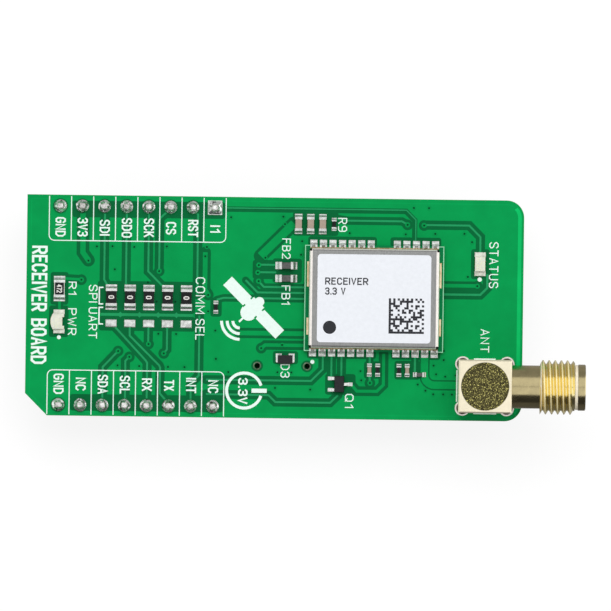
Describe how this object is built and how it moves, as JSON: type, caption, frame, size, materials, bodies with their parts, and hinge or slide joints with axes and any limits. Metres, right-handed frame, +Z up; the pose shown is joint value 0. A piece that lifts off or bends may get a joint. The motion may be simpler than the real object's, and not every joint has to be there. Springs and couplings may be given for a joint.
{
  "type": "satellite positioning receiver board",
  "caption": "Plug-in circuit board with a shielded satellite positioning receiver module, header pins, chip parts and a right-angle threaded antenna jack.",
  "frame": {"origin": "centre of the two header rows, on the plane under the header bars that seats on the host's sockets", "axes": "+X out of the antenna jack along the board's length, +Y across the board away from the jack's corner, +Z up from the board's component side"},
  "size_m": [0.0644, 0.0254, 0.0168],
  "materials": {
    "board_mask": "green solder mask over copper, satin gloss",
    "tinned_land": "tinned copper",
    "solder": "bright solder",
    "header_plastic": "black moulded plastic",
    "gold_plate": "gold plating",
    "module_mask": "green solder mask",
    "shield_metal": "nickel silver sheet, fine brushed",
    "label_paper": "matte white label",
    "package_black": "moulded black package",
    "oscillator_lid": "metal lid",
    "ceramic": "white alumina",
    "glaze": "black glaze",
    "lens": "clear pale epoxy",
    "ferrite": "dark grey ferrite",
    "capacitor_ceramic": "tan ceramic",
    "jack_plate": "pale gold plating, satin",
    "cap_plate": "grainy olive gold",
    "insulator": "white fluoropolymer"
  },
  "bodies": {
    "root": {"circuit_board": "board_mask", "board_lands": "tinned_land", "header_bar_upper": "header_plastic", "header_bar_lower": "header_plastic", "header_pins_upper": "gold_plate", "header_pins_lower": "gold_plate", "header_solder_upper": "solder", "header_solder_lower": "solder", "module_substrate": "module_mask", "module_solder": "solder", "shield_can": "shield_metal", "can_solder": "gold_plate", "module_label": "label_paper", "receiver_chip": "package_black", "reference_oscillator": "oscillator_lid", "clock_crystal": "oscillator_lid", "band_filter": "ceramic", "input_amplifier": "package_black", "module_passives": "capacitor_ceramic", "jack_body": "jack_plate", "jack_barrel": "gold_plate", "jack_cap": "cap_plate", "jack_insulator": "insulator", "jack_lower_insulator": "insulator", "jack_contact": "gold_plate", "jack_signal_pin": "gold_plate", "jack_solder": "solder", "power_resistor_body": "ceramic", "power_resistor_glaze": "glaze", "power_resistor_terminals": "tinned_land", "selector_resistor_bodies": "ceramic", "selector_resistor_glazes": "glaze", "selector_resistor_terminals": "tinned_land", "small_resistor_bodies": "ceramic", "small_resistor_glazes": "glaze", "small_resistor_terminals": "tinned_land", "power_led_base": "ceramic", "power_led_lens": "lens", "power_led_terminals": "tinned_land", "status_led_base": "ceramic", "status_led_lens": "lens", "status_led_terminals": "tinned_land", "ferrite_bead_bodies": "ferrite", "ferrite_bead_terminals": "tinned_land", "supply_capacitor_bodies": "capacitor_ceramic", "supply_capacitor_terminals": "tinned_land", "small_capacitor_bodies": "capacitor_ceramic", "small_capacitor_terminals": "tinned_land", "antenna_inductor_body": "ferrite", "antenna_inductor_terminals": "tinned_land", "diode_body": "package_black", "diode_terminals": "tinned_land", "transistor_body": "package_black", "transistor_leads": "tinned_land", "chip_solder": "solder"}
  },
  "joints": []
}
